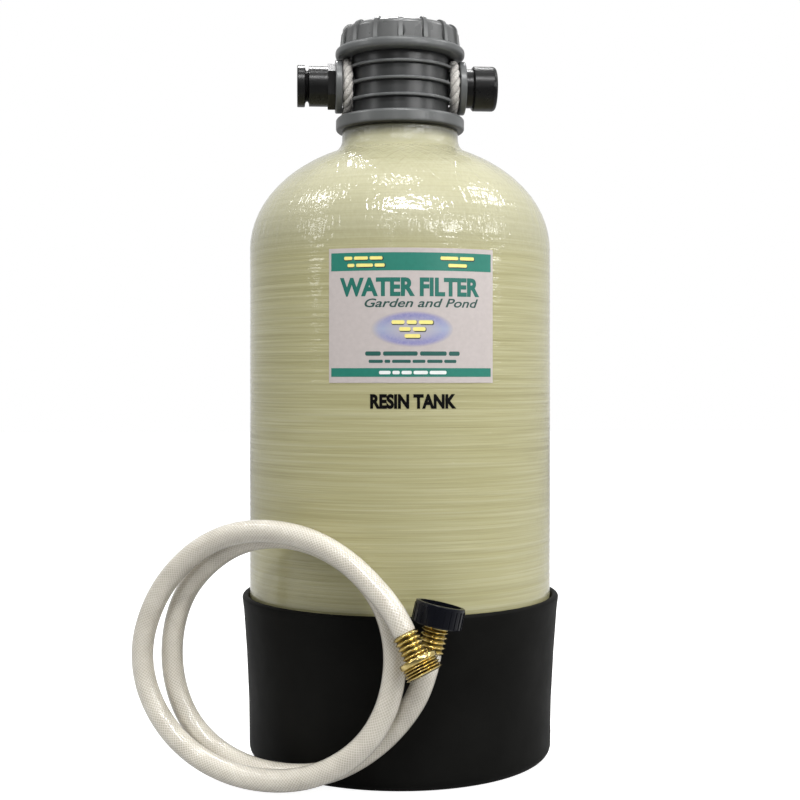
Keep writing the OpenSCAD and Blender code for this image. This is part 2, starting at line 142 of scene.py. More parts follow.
class Surface:
    """A procedural material: a principled shader and the nodes that feed it."""

    def __init__(self, name, **values):
        self.material = bpy.data.materials.new(name)
        self.material.use_nodes = True
        self.tree = self.material.node_tree
        self.shader = self.tree.nodes["Principled BSDF"]
        self.place = self.tree.nodes.new("ShaderNodeTexCoord").outputs["Object"]
        for key, value in values.items():
            self.shader.inputs[key.replace("_", " ")].default_value = value

    def link(self, source, target):
        self.tree.links.new(source, target)

    def math(self, operation, a, b=0.0, clamp=False):
        node = self.tree.nodes.new("ShaderNodeMath")
        node.operation = operation
        node.use_clamp = clamp
        for socket, value in zip(node.inputs, (a, b)):
            if isinstance(value, (int, float)):
                socket.default_value = value
            else:
                self.link(value, socket)
        return node.outputs[0]

    def stretched(self, scale):
        node = self.tree.nodes.new("ShaderNodeMapping")
        node.inputs["Scale"].default_value = scale
        self.link(self.place, node.inputs["Vector"])
        return node.outputs[0]

    def noise(self, scale, detail=3.0, stretch=(1, 1, 1), roughness=0.55, place=None):
        node = self.tree.nodes.new("ShaderNodeTexNoise")
        node.inputs["Scale"].default_value = scale
        node.inputs["Detail"].default_value = detail
        node.inputs["Roughness"].default_value = roughness
        self.link(place or self.stretched(stretch), node.inputs["Vector"])
        return node.outputs["Fac"]

    def cells(self, scale):
        node = self.tree.nodes.new("ShaderNodeTexVoronoi")
        node.inputs["Scale"].default_value = scale
        self.link(self.place, node.inputs["Vector"])
        return node.outputs["Distance"]

    def ramp(self, factor, stops):
        node = self.tree.nodes.new("ShaderNodeValToRGB")
        elements = node.color_ramp.elements
        while len(elements) < len(stops):
            elements.new(0.5)
        for element, (at, colour) in zip(elements, stops):
            element.position = at
            element.color = (*colour, 1) if isinstance(colour, tuple) else (colour,) * 3 + (1,)
        self.link(factor, node.inputs["Fac"])
        return node.outputs["Color"]

    def mix(self, factor, a, b):
        node = self.tree.nodes.new("ShaderNodeMix")
        node.data_type = "RGBA"
        for name, value in (("Factor_Float", factor), ("A_Color", a), ("B_Color", b)):
            socket = next(s for s in node.inputs if s.identifier == name)
            if isinstance(value, tuple):
                socket.default_value = (*value, 1)
            elif isinstance(value, (int, float)):
                socket.default_value = value if name == "Factor_Float" else (value,) * 3 + (1,)
            else:
                self.link(value, socket)
        return next(s for s in node.outputs if s.identifier == "Result_Color")

    def colour(self, source):
        self.link(source, self.shader.inputs["Base Color"])

    def rough(self, factor, smoothest, roughest):
        node = self.tree.nodes.new("ShaderNodeMapRange")
        node.inputs["To Min"].default_value = smoothest
        node.inputs["To Max"].default_value = roughest
        self.link(factor, node.inputs["Value"])
        self.link(node.outputs[0], self.shader.inputs["Roughness"])

    def raise_on(self, name, height, strength, distance):
        """Lays one more bump over what the named normal socket already has."""
        socket = self.shader.inputs[name]
        node = self.tree.nodes.new("ShaderNodeBump")
        node.inputs["Strength"].default_value = strength
        node.inputs["Distance"].default_value = distance
        self.link(height, node.inputs["Height"])
        if socket.is_linked:
            self.link(socket.links[0].from_socket, node.inputs["Normal"])
        self.link(node.outputs[0], socket)
        return node.outputs[0]

    def bump(self, height, strength, distance, coat=False):
        normal = self.raise_on("Normal", height, strength, distance)
        if coat:
            self.link(normal, self.shader.inputs["Coat Normal"])

    def film(self, height, strength, distance):
        """Waves in the clear coat alone."""
        self.raise_on("Coat Normal", height, strength, distance)

    def uv(self):
        """Place on a swept piece: turns round it, and metres along it."""
        node = self.tree.nodes.new("ShaderNodeTexCoord")
        split = self.tree.nodes.new("ShaderNodeSeparateXYZ")
        self.link(node.outputs["UV"], split.inputs[0])
        return split.outputs[0], split.outputs[1]

    def axes(self):
        split = self.tree.nodes.new("ShaderNodeSeparateXYZ")
        self.link(self.place, split.inputs[0])
        return split.outputs


def moulded(name, colour, spread, roughness, grain=900, lumps=0.15, recess=None, under=None,
            **values):
    """Moulded plastic or rubber: slight colour drift, fine grain and a soft unevenness. recess is
    (inner radius, outer radius, share): painted shade darkens what lies inside, and edges keep
    their own tone.
    Below the height under, the plastic is painted nearly black as shadow."""
    s = Surface(name, **values)
    drift = s.noise(18, 4)
    dark = tuple(c * (1 - spread) for c in colour)
    light = tuple(c * (1 + spread) for c in colour)
    tone = s.ramp(drift, [(0.3, dark), (0.7, light)])
    # Painted shade: surfaces inside the recess are darkened, most at the inner radius.
    if recess:
        inner, outer, share = recess
        x, y, z = s.axes()
        radius = s.math("SQRT", s.math("ADD", s.math("MULTIPLY", x, x), s.math("MULTIPLY", y, y)))
        depth = s.math("DIVIDE", s.math("SUBTRACT", outer, radius), outer - inner, clamp=True)
        tone = s.mix(depth, tone, tuple(c * share for c in colour))
    # Painted shadow: below that height the plastic turns nearly black.
    if under:
        shadow_below = s.math("MULTIPLY", s.math("SUBTRACT", under, z), 1200, clamp=True)
        tone = s.mix(shadow_below, tone, tuple(c * 0.12 for c in colour))
    s.colour(tone)
    s.rough(s.noise(60, 3), roughness[0], roughness[1])
    s.bump(s.noise(45, 2), lumps, 0.4 * MM)
    s.bump(s.noise(grain, 2), 0.12, 0.05 * MM)
    return s


# --- Mesh helpers --------------------------------------------------------------------------

def mesh_piece(name, verts, faces, surface, body, keep_sharp, uvs=None):
    """A smooth-shaded piece. Edges steeper than keep_sharp degrees stay sharp."""
    mesh = bpy.data.meshes.new(name)
    mesh.from_pydata([tuple(v) for v in verts], [], faces)
    mesh.validate()
    if uvs is not None:
        layer = mesh.uv_layers.new(name="UVMap")
        for loop in mesh.loops:
            layer.data[loop.index].uv = uvs[loop.index]
    mesh.polygons.foreach_set("use_smooth", [True] * len(mesh.polygons))
    mesh.set_sharp_from_angle(angle=math.radians(keep_sharp))
    mesh.materials.append(surface.material)
    obj = bpy.data.objects.new(name, mesh)
    bpy.context.scene.collection.objects.link(obj)
    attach(obj, body)
    return obj


def revolve(name, outline, surface, body, turns=256, relief=None, keep_sharp=32,
            stand=None):
    """Closed outline of (radius, height) turned about the tank's axis, or about the one that
    stand moves it to. An end on the axis closes with a fan. relief(angle, radius, height) moves
    the surface outwards."""
    verts, rows = [], []
    angles = [2 * math.pi * k / turns for k in range(turns)]
    for r, z in outline:
        if r < 1e-7:
            rows.append([len(verts)])
            verts.append((0, 0, z))
            continue
        rows.append(list(range(len(verts), len(verts) + turns)))
        for a in angles:
            out = r + (relief(a, r, z) if relief else 0)
            verts.append((out * math.cos(a), out * math.sin(a), z))
    faces = []
    count = len(rows)
    for i in range(count):
        p, q = rows[i], rows[(i + 1) % count]
        if len(p) == 1 and len(q) == 1:
            continue
        for k in range(turns):
            m = (k + 1) % turns
            if len(p) == 1:
                faces.append((p[0], q[m], q[k]))
            elif len(q) == 1:
                faces.append((p[k], p[m], q[0]))
            else:
                faces.append((p[k], p[m], q[m], q[k]))
    if stand:
        verts = [stand @ Vector(v) for v in verts]
    return mesh_piece(name, verts, faces, surface, body, keep_sharp)


def arc(x, z, rx, rz, start, stop, steps):
    """Points on an ellipse's arc round (x, z), from start to stop in degrees."""
    turns = [math.radians(start + (stop - start) * i / steps) for i in range(steps + 1)]
    return [(x + rx * math.cos(a), z + rz * math.sin(a)) for a in turns]


def refined(outline, step):
    """The outline with long stretches cut up, so that relief has vertices to move."""
    out = []
    for (r0, z0), (r1, z1) in zip(outline, outline[1:]):
        parts = max(1, round(math.hypot(r1 - r0, z1 - z0) / step))
        out += [(r0 + (r1 - r0) * i / parts, z0 + (z1 - z0) * i / parts) for i in range(parts)]
    return out + [outline[-1]]


SPAN_STEPS = 12
HELD_STEPS = 14


def smooth_route(points, step, passes):
    """Points every step along a smooth curve near the given ones, and its length. Each pass
    relaxes all of it but the first and last HELD_STEPS."""
    p = [Vector(q) for q in points]
    dense = []
    for i in range(len(p) - 1):
        a, b = p[max(i - 1, 0)], p[i]
        c, d = p[i + 1], p[min(i + 2, len(p) - 1)]
        for k in range(SPAN_STEPS):
            t = k / SPAN_STEPS
            dense.append(0.5 * (2 * b + (c - a) * t + (2 * a - 5 * b + 4 * c - d) * t * t
                                + (3 * b - a - 3 * c + d) * t ** 3))
    dense.append(p[-1])
    relaxed = range(HELD_STEPS, len(dense) - HELD_STEPS)
    for _ in range(passes):
        dense[relaxed.start:relaxed.stop] = [(dense[i - 1] + dense[i] * 2 + dense[i + 1]) / 4
                                             for i in relaxed]
    lengths = [0.0]
    for a, b in zip(dense, dense[1:]):
        lengths.append(lengths[-1] + (b - a).length)
    count = round(lengths[-1] / step)
    route, j = [], 0
    for i in range(count + 1):
        want = lengths[-1] * i / count
        while j < len(dense) - 2 and lengths[j + 1] < want:
            j += 1
        span = lengths[j + 1] - lengths[j]
        route.append(dense[j].lerp(dense[j + 1], (want - lengths[j]) / span if span else 0))
    return route, lengths[-1]


def sweep(name, route, radius, sides, surface, body):
    """Tube along route. radius(turn, distance) is its radius there. UV is (turns, metres)."""
    side = Vector((0, 0, 1))
    verts, dists, dist = [], [], 0.0
    for i, p in enumerate(route):
        t = (route[min(i + 1, len(route) - 1)] - route[max(i - 1, 0)]).normalized()
        side = (side - t * side.dot(t)).normalized()
        up = t.cross(side)
        if i:
            dist += (p - route[i - 1]).length
        dists.append(dist)
        for k in range(sides):
            turn = k / sides
            a = 2 * math.pi * turn
            verts.append(p + (side * math.cos(a) + up * math.sin(a)) * radius(turn, dist))
    faces, uvs = [], []
    for i in range(len(route) - 1):
        for k in range(sides):
            m = (k + 1) % sides
            faces.append((i * sides + k, i * sides + m, (i + 1) * sides + m, (i + 1) * sides + k))
            u0, u1 = k / sides, (k + 1) / sides
            uvs += [(u0, dists[i]), (u1, dists[i]), (u1, dists[i + 1]), (u0, dists[i + 1])]
    last = (len(route) - 1) * sides
    faces.append(tuple(range(sides))[::-1])
    uvs += [(k / sides, 0) for k in range(sides)]
    faces.append(tuple(last + k for k in range(sides)))
    uvs += [(k / sides, dist) for k in range(sides)]
    return mesh_piece(name, verts, faces, surface, body, 60, uvs)


def finish_node(name, surface):
    """Gives a CAD node its material."""
    obj = nodes[name]
    obj.data.materials.clear()
    obj.data.materials.append(surface.material)
    obj.data.polygons.foreach_set("material_index", [0] * len(obj.data.polygons))


# --- Materials -----------------------------------------------------------------------------

def winding_surface():
    """Wound glass fibre under clear resin. Hoops lie round the wall. Over the dome each run
    follows a line that, seen from above, touches the neck's circle, in two crossed families."""
    s = Surface("wound_glass", Roughness=0.5, Coat_Weight=1.0, Coat_Roughness=0.03)
    x, y, z = s.axes()
    turn = s.math("ARCTAN2", y, x)
    square = s.math("ADD", s.math("MULTIPLY", x, x), s.math("MULTIPLY", y, y))
    radius = s.math("MAXIMUM", s.math("SQRT", square), NECK_R + 0.1 * MM)
    lean = s.math("ARCCOSINE", s.math("DIVIDE", NECK_R, radius))

    def run(sign, scale, climb, detail):
        at = s.math("ADD", turn, s.math("MULTIPLY", lean, sign))
        join = s.tree.nodes.new("ShaderNodeCombineXYZ")
        s.link(s.math("COSINE", at), join.inputs[0])
        s.link(s.math("SINE", at), join.inputs[1])
        s.link(s.math("MULTIPLY", z, climb), join.inputs[2])
        return s.noise(scale, detail, roughness=0.6, place=join.outputs[0])

    crossed = s.math("MAXIMUM", run(1, 46, 5.0, 4), run(-1, 46, 5.0, 4))
    hoops = s.noise(1, 4, (4, 4, 310), 0.65)
    strands = s.noise(1, 3, (9, 9, 900), 0.6)
    dome = s.math("MULTIPLY", s.math("SUBTRACT", z, WALL_HIGH - 0.012), 50, clamp=True)
    wall = s.math("SUBTRACT", 1.0, dome)
    fibres = s.math("ADD", s.math("MULTIPLY", hoops, wall), s.math("MULTIPLY", crossed, dome))
    tone = s.math("ADD", s.math("MULTIPLY", fibres, 0.5), s.math("MULTIPLY", strands, 0.5))
    wall_tone = s.ramp(tone, [(0.36, (0.308, 0.286, 0.135)), (0.50, (0.380, 0.357, 0.186)),
                              (0.64, (0.450, 0.430, 0.260))])
    dome_tone = s.ramp(tone, [(0.34, (0.320, 0.305, 0.180)), (0.66, (0.398, 0.384, 0.252))])
    cloudy = s.noise(7, 4, (1, 1, 2.2))
    base = s.mix(dome, wall_tone, dome_tone)
    base = s.mix(s.math("MULTIPLY", cloudy, 0.3), base, (0.34, 0.32, 0.145))
    neck = s.math("MULTIPLY", s.math("SUBTRACT", NECK_R + 9 * MM, radius), 110, clamp=True)
    base = s.mix(s.math("MULTIPLY", neck, 0.6), base, (0.27, 0.26, 0.16))
    # Painted shadow: the top of the neck, just under the head's ring, is darkened nearly to black.
    lip = s.math("MULTIPLY", s.math("SUBTRACT", z, neck_top - 9 * MM), 180, clamp=True)
    s.colour(s.mix(s.math("MULTIPLY", lip, 0.8), base, (0.07, 0.07, 0.045)))
    s.bump(s.math("MULTIPLY", fibres, wall), 0.7, 0.5 * MM, coat=True)
    strokes = s.math("MAXIMUM", run(1, 26, 1.4, 1.5), run(-1, 26, 1.4, 1.5))
    s.film(s.math("MULTIPLY", strokes, dome), 1.0, 1.0 * MM)
    s.film(s.math("MULTIPLY", s.noise(1, 1, (14, 14, 420)), wall), 1.0, 0.22 * MM)
    crumple = s.noise(185, 1.5, (1, 1, 1.4))
    s.film(s.math("MULTIPLY", crumple, s.math("ADD", dome, 1.2)), 1.0, 0.24 * MM)
    s.film(s.math("MULTIPLY", s.noise(1, 1.5, (60, 60, 260)), neck), 1.0, 0.5 * MM)
    return s


def hose_surface():
    """Milky clear hose with a crossed braid inside the wall."""
    s = Surface("braided_hose", Roughness=0.3, Coat_Weight=1.0, Coat_Roughness=0.07,
                Subsurface_Weight=0.2, Subsurface_Scale=0.003, IOR=1.48)
    s.shader.inputs["Subsurface Radius"].default_value = (1.0, 0.95, 0.85)
    turn, along = s.uv()
    around = s.math("MULTIPLY", turn, 20 * math.pi)
    run = s.math("MULTIPLY", along, math.pi / (2.5 * MM))
    one = s.math("ABSOLUTE", s.math("SINE", s.math("ADD", around, run)))
    two = s.math("ABSOLUTE", s.math("SINE", s.math("SUBTRACT", around, run)))
    braid = s.ramp(s.math("MINIMUM", one, two), [(0.05, 1.0), (0.6, 0.0)])
    haze = s.noise(70, 4)
    milk = s.ramp(haze, [(0.3, (0.44, 0.40, 0.32)), (0.7, (0.57, 0.53, 0.44))])
    s.colour(s.mix(s.math("MULTIPLY", braid, 0.7), milk, (0.84, 0.81, 0.75)))
    s.film(braid, 1.0, 0.06 * MM)
    s.bump(braid, 0.6, 0.3 * MM)
    return s


def rope_surface():
    """Three laid strands of pale yarn, with painted shade where they meet."""
    s = Surface("rope_fibre", Roughness=0.85)
    s.shader.inputs["Sheen Weight"].default_value = 0.3
    turn, along = s.uv()
    lay = s.math("SUBTRACT", s.math("MULTIPLY", turn, 3 * math.pi),
                 s.math("MULTIPLY", along, 3 * math.pi / ROPE_LAY))
    strand = s.math("ABSOLUTE", s.math("SINE", lay))
    yarn = s.math("SINE", s.math("ADD", s.math("MULTIPLY", turn, 60 * math.pi),
                                 s.math("MULTIPLY", along, 5200)))
    tone = s.math("ADD", s.math("MULTIPLY", yarn, 0.10), s.noise(900, 5))
    pale = s.ramp(tone, [(0.3, (0.29, 0.27, 0.25)), (0.5, (0.48, 0.46, 0.43)),
                         (0.75, (0.68, 0.66, 0.62))])
    # Painted shade darkens the valleys where the strands meet.
    s.colour(s.mix(s.ramp(strand, [(0.05, 1.0), (0.4, 0.0)]), pale, (0.25, 0.24, 0.22)))
    s.bump(tone, 0.7, 0.3 * MM)
    return s


def brass_surface(name, foot=None, axis=None, start=0.0, pitch=1.0):
    """Bright turned brass. With a foot and an axis, the grooves at that pitch past start are
    painted dark as shade."""
    s = Surface(name, Metallic=1.0, Roughness=0.2)
    tone = s.ramp(s.noise(300, 3), [(0.35, (0.50, 0.38, 0.12)), (0.7, (0.72, 0.58, 0.26))])
    if foot:
        node = s.tree.nodes.new("ShaderNodeVectorMath")
        node.operation = "DOT_PRODUCT"
        s.link(s.place, node.inputs[0])
        node.inputs[1].default_value = axis
        past = s.math("SUBTRACT", node.outputs["Value"], foot.dot(axis) + start)
        wave = s.math("COSINE", s.math("MULTIPLY", past, 2 * math.pi / pitch))
        # Painted shade: the grooves between the ridges go nearly black.
        groove = s.math("MULTIPLY", s.ramp(wave, [(0.35, 0.0), (0.95, 0.95)]),
                        s.math("MULTIPLY", past, 4000, clamp=True))
        tone = s.mix(groove, tone, (0.03, 0.024, 0.006))
    s.colour(tone)
    s.rough(s.noise(240, 3), 0.12, 0.24)
    s.bump(s.noise(500, 2), 0.08, 0.05 * MM)
    return s


def resin_surface():
    s = Surface("resin_beads", Roughness=0.45)
    beads = s.cells(1100)
    s.colour(s.ramp(beads, [(0.1, (0.70, 0.40, 0.10)), (0.6, (0.30, 0.12, 0.02))]))
    s.bump(s.math("SUBTRACT", 1.0, beads), 0.8, 0.5 * MM)
    return s


winding = winding_surface()
boot_rubber = moulded("boot_rubber", (0.0055, 0.0055, 0.005), 0.25, (0.45, 0.6), 700, 0.3,
                      IOR=1.12)
# Painted shade darkens the head's waist and the flats between the cap's ribs.
head_plastic = moulded("head_plastic", (0.093, 0.097, 0.097), 0.14, (0.28, 0.42),
                       lumps=0.06, recess=(39 * MM, 41.6 * MM, 0.27), under=neck_top + 1.6 * MM)
cap_plastic = moulded("cap_plastic", (0.175, 0.179, 0.178), 0.16, (0.2, 0.36),
                      lumps=0.06, recess=(45.7 * MM, 46.9 * MM, 0.5))
black_plastic = moulded("black_plastic", (0.006, 0.006, 0.006), 0.2, (0.2, 0.38),
                        IOR=1.3)
nut_plastic = moulded("nut_plastic", (0.003, 0.0035, 0.006), 0.2, (0.2, 0.34),
                      IOR=1.26)
seal_rubber = moulded("seal_rubber", (0.012, 0.012, 0.012), 0.2, (0.5, 0.7))
washer_rubber = moulded("washer_rubber", (0.035, 0.02, 0.018), 0.2, (0.5, 0.7))
white_plastic = moulded("white_plastic", (0.72, 0.72, 0.69), 0.05, (0.35, 0.5))
liner_plastic = moulded("liner_plastic", (0.66, 0.64, 0.56), 0.06, (0.4, 0.55))
sleeve_metal = moulded("sleeve_metal", (0.6, 0.6, 0.6), 0.1, (0.25, 0.5), Metallic=1.0)
brass = brass_surface("machined_brass")
hose_plastic = hose_surface()
rope_fibre = rope_surface()
resin_beads = resin_surface()


# --- Cords ---------------------------------------------------------------------------------

def heading(tilt, turn):
    """Unit vector that leans tilt degrees from straight up, towards turn degrees."""
    tilt, turn = math.radians(tilt), math.radians(turn)
    return Vector((math.sin(tilt) * math.cos(turn), math.sin(tilt) * math.sin(turn),
                   math.cos(tilt)))


FERRULE_L = 17 * MM
BARB_GAP = 3 * MM
LEAD = 13 * MM
HOSE_R = 7.9 * MM
CRIMP_R = 7.2 * MM
CRIMP_EASE = 1.5 * MM
END_A, TILT_A = Vector((-10, -166, 121)) * MM, (150, -30)
END_B, TILT_B = Vector((9, -145, 104)) * MM, (13, 10)
TO_A, TO_B = heading(*TILT_A), heading(*TILT_B)
HOSE_POINTS = [
    (-26, -154, 146), (-46, -140, 165), (-70, -125, 178), (-97, -109, 183), (-124, -92, 180),
    (-149, -78, 168), (-170, -66, 148), (-185, -57, 123), (-193, -53, 93), (-189, -55, 63),
    (-174, -64, 37), (-152, -76, 19), (-126, -91, 10), (-99, -107, 9), (-72, -122, 15),
    (-47, -136, 30), (-28, -146, 52), (-17, -149, 80), (-15, -144, 111), (-24, -134, 139),
    (-43, -121, 160), (-67, -106, 173), (-94, -90, 177), (-121, -75, 171), (-144, -62, 155),
    (-162, -51, 132), (-171, -46, 103), (-171, -46, 72), (-161, -52, 43), (-141, -63, 22),
    (-115, -78, 11), (-88, -93, 9), (-61, -109, 14), (-37, -121, 28), (-17, -132, 47),
    (-1, -142, 71)]


RIDGE_STEPS = 14


def ridges(bottom, top, valley, crest, count):
    """Side of a turned piece between two heights, with rounded crests. All in millimetres."""
    outline = []
    for i in range(RIDGE_STEPS * count + 1):
        wave = 0.5 - 0.5 * math.cos(2 * math.pi * i / RIDGE_STEPS)
        outline.append(((valley + (crest - valley) * wave) * MM,
                        (bottom + (top - bottom) * i / (RIDGE_STEPS * count)) * MM))
    return outline


def add_fittings():
    """The crimped sleeves and the male end, with the rounded ridges of the real ones."""
    fittings = []
    for name, end, tilt, node in (("crimped_sleeve_a", END_A, TILT_A, "hose_ferrule_a"),
                                  ("crimped_sleeve_b", END_B, TILT_B, "hose_ferrule_b"),
                                  ("male_end", END_A, TILT_A, "hose_male_end")):
        is_thread = name == "male_end"
        bottom, top, crests = (21.8, 29.6, 4) if is_thread else (0, FERRULE_L / MM, 5)
        look = brass_surface(name + "_brass", end, heading(*tilt), bottom * MM,
                             (top - bottom) / crests * MM)
        if is_thread:
            outline = [(x * MM, z * MM) for x, z in (
                (4.3, 3), (5.2, 3), (5.2, 17.02), (9.6, 17.02), (9.8, 17.5), (12.4, 17.6),
                (13.0, 18.1), (13.1, 19.0), (13.1, 20.4), (12.8, 21.2), (11.7, 21.7))]
            outline += ridges(bottom, top, 11.5, 12.9, crests)
            outline += [(x * MM, z * MM) for x, z in ((9.5, 29.62), (9.5, 24.62), (4.3, 24.62))]
        else:
            bore = CRIMP_R + 0.05 * MM
            outline = [(bore, 0)] + ridges(bottom, top, 7.6, 9.2, crests) + [(bore, FERRULE_L)]
        stand = (Matrix.Translation(end) @ Matrix.Rotation(math.radians(tilt[1]), 4, "Z")
                 @ Matrix.Rotation(math.radians(tilt[0]), 4, "Y"))
        piece = revolve(name, outline, look, "tank", 96, keep_sharp=50, stand=stand)
        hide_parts(node)
        fittings.append(piece)
    return fittings


def add_hose():
    ends = FERRULE_L - BARB_GAP
    points = ([END_A + TO_A * ends, END_A, END_A - TO_A * LEAD]
              + [Vector(p) * MM for p in HOSE_POINTS]
              + [END_B - TO_B * LEAD, END_B, END_B + TO_B * ends])
    route, length = smooth_route(points, 2.5 * MM, passes=24)

    def squeezed(turn, along):
        """The hose is narrower under its crimped sleeves."""
        past = min(along, length - along) - ends + 1 * MM
        return CRIMP_R + (HOSE_R - CRIMP_R) * min(1.0, max(0.0, past / CRIMP_EASE))

    hose = sweep("braided_hose", route, squeezed, 40, hose_plastic, "tank")
    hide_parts("hose_tube")
    (add_fittings() + [nodes[n] for n in ("hose_tail", "hose_swivel_nut",
                                                             "hose_washer")])


ROPE_R = 3.9 * MM
ROPE_X = 41.1
ROPE_RING_R = 17.4
SLEEVE = (76, 459)
ROPE_LOW = [(13, *SLEEVE), (23, 73, 462), (33, 62, 474), (39, 44, 489), (41, 22, 497)]
ROPE_HIGH = [(41, 24, 532), (40, 46, 527), (37, 65, 509), (32, 80, 486), (24, 90, 462),
             (12, 95, 446)]


def add_rope():
    turn = []
    for i in range(7):
        a = math.radians(-90 - 30 * i)
        turn.append((ROPE_X, ROPE_RING_R * math.cos(a), PORT_Z / MM + ROPE_RING_R * math.sin(a)))
    one_side = ROPE_LOW + turn + ROPE_HIGH
    other_side = [(-x, y, z) for x, y, z in reversed(one_side)]
    points = [Vector(p) * MM for p in [(1, *SLEEVE)] + one_side + [(0, 97, 441)] + other_side
              + [(-1, *SLEEVE)]]
    route, length = smooth_route(points, 0.9 * MM, passes=3)

    def lobes(around, along):
        """Three laid strands, with a slow drift so that no two turns look the same."""
        wave = abs(math.sin(1.5 * 2 * math.pi * (around - along / ROPE_LAY)))
        drift = 0.035 * math.sin(along * 410) + 0.025 * math.sin(along * 977 + 1)
        return ROPE_R * (0.72 + 0.28 * wave ** 0.6 + drift * 0.6)

    rope = sweep("twisted_rope", route, lobes, 36, rope_fibre, "tank")
    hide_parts("rope_handle")


# --- Tank and boot -------------------------------------------------------------------------

def tank_outline():
    """Domed foot, wall, dome and a fillet up to the neck outside, and the same shell inside."""
    join_r = NECK_R + FILLET_R * 0.62
    join = math.degrees(math.acos(join_r / tank_r))
    fillet_z = WALL_HIGH + DOME_H * math.sin(math.radians(join)) + FILLET_R * 0.926
    outside = (arc(0, WALL_LOW, tank_r, LOW_DOME_H, -90, 0, 40)
               + arc(0, WALL_HIGH, tank_r, DOME_H, 0, join, 60)
               + arc(NECK_R + FILLET_R, fillet_z, FILLET_R, FILLET_R, 240, 180, 10)
               + [(NECK_R, neck_top - 1.2 * MM), (NECK_R - 0.4 * MM, neck_top)])
    bore = NECK_R - 3.5 * MM
    inner_r = tank_r - SHELL_T
    inside = (arc(0, WALL_LOW, inner_r, LOW_DOME_H - SHELL_T, -90, 0, 24)
              + arc(0, WALL_HIGH, inner_r, DOME_H - SHELL_T, 0,
                    math.degrees(math.acos(bore / inner_r)), 24) + [(bore, neck_top)])
    return refined(outside, 1.6 * MM) + inside[::-1]


def tank_relief(angle, r, z):
    """Faint hoops and slow dents of a wound wall, none inside and none at the neck."""
    if r < NECK_R + 4 * MM or z < 0.02:
        return 0.0
    hoops = 0.05 * math.sin(z * 1450 + 2 * math.sin(angle + z * 11)) \
        + 0.04 * math.sin(z * 930 - 1.5 * math.sin(2 * angle + 1))
    dents = 0.09 * math.sin(3 * angle + z * 31) * math.sin(z * 47 + 1.3)
    crossed = 0.0
    if z > WALL_HIGH:
        crossed = 0.07 * math.sin(26 * angle + r * 150) * math.sin(26 * angle - r * 150)
    return (hoops + dents + crossed) * MM


def add_tank():
    tank = revolve("wound_shell", tank_outline(), winding, "tank", turns=320,
                   relief=tank_relief)
    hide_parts("tank_winding")


def add_boot():
    """Rubber boot, flared to a rounded lip that stands off the tank's wall."""
    toe, lip = 9 * MM, 2.6 * MM
    rim = boot_r
    outline = ([(0, 0)] + arc(rim - 5.7 * MM - toe, toe, toe, toe, -90, 0, 12)
               + [(rim - 5.2 * MM, 43 * MM), (rim - 3.5 * MM, 80 * MM),
                  (rim - 1.2 * MM, 112 * MM)]
               + arc(rim - lip, boot_top - lip, lip, lip, 0, 180, 16)
               + [(tank_r + 0.4 * MM, 110 * MM), (tank_r + 0.2 * MM, 76 * MM),
                  (rim - 9.5 * MM, 58 * MM), (rim - 10.5 * MM, 20 * MM),
                  (rim - 16 * MM, 6 * MM), (0, 6 * MM)])

    def wobble(angle, r, z):
        if r < tank_r + 0.45 * MM or z < 2 * MM:
            return 0.0
        return (0.22 * math.sin(5 * angle + z * 20) + 0.16 * math.sin(9 * angle - z * 33)) * MM

    boot = revolve("rubber_boot", refined(outline, 5 * MM), boot_rubber, "tank",
                   relief=wobble)
    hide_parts("base_boot")


# --- Label and lettering -------------------------------------------------------------------

PAPER_LIFT = 0.02 * MM
PAPER_T = 0.3 * MM
INK_T = 0.05 * MM
BEND_STEP = 1.5 * MM


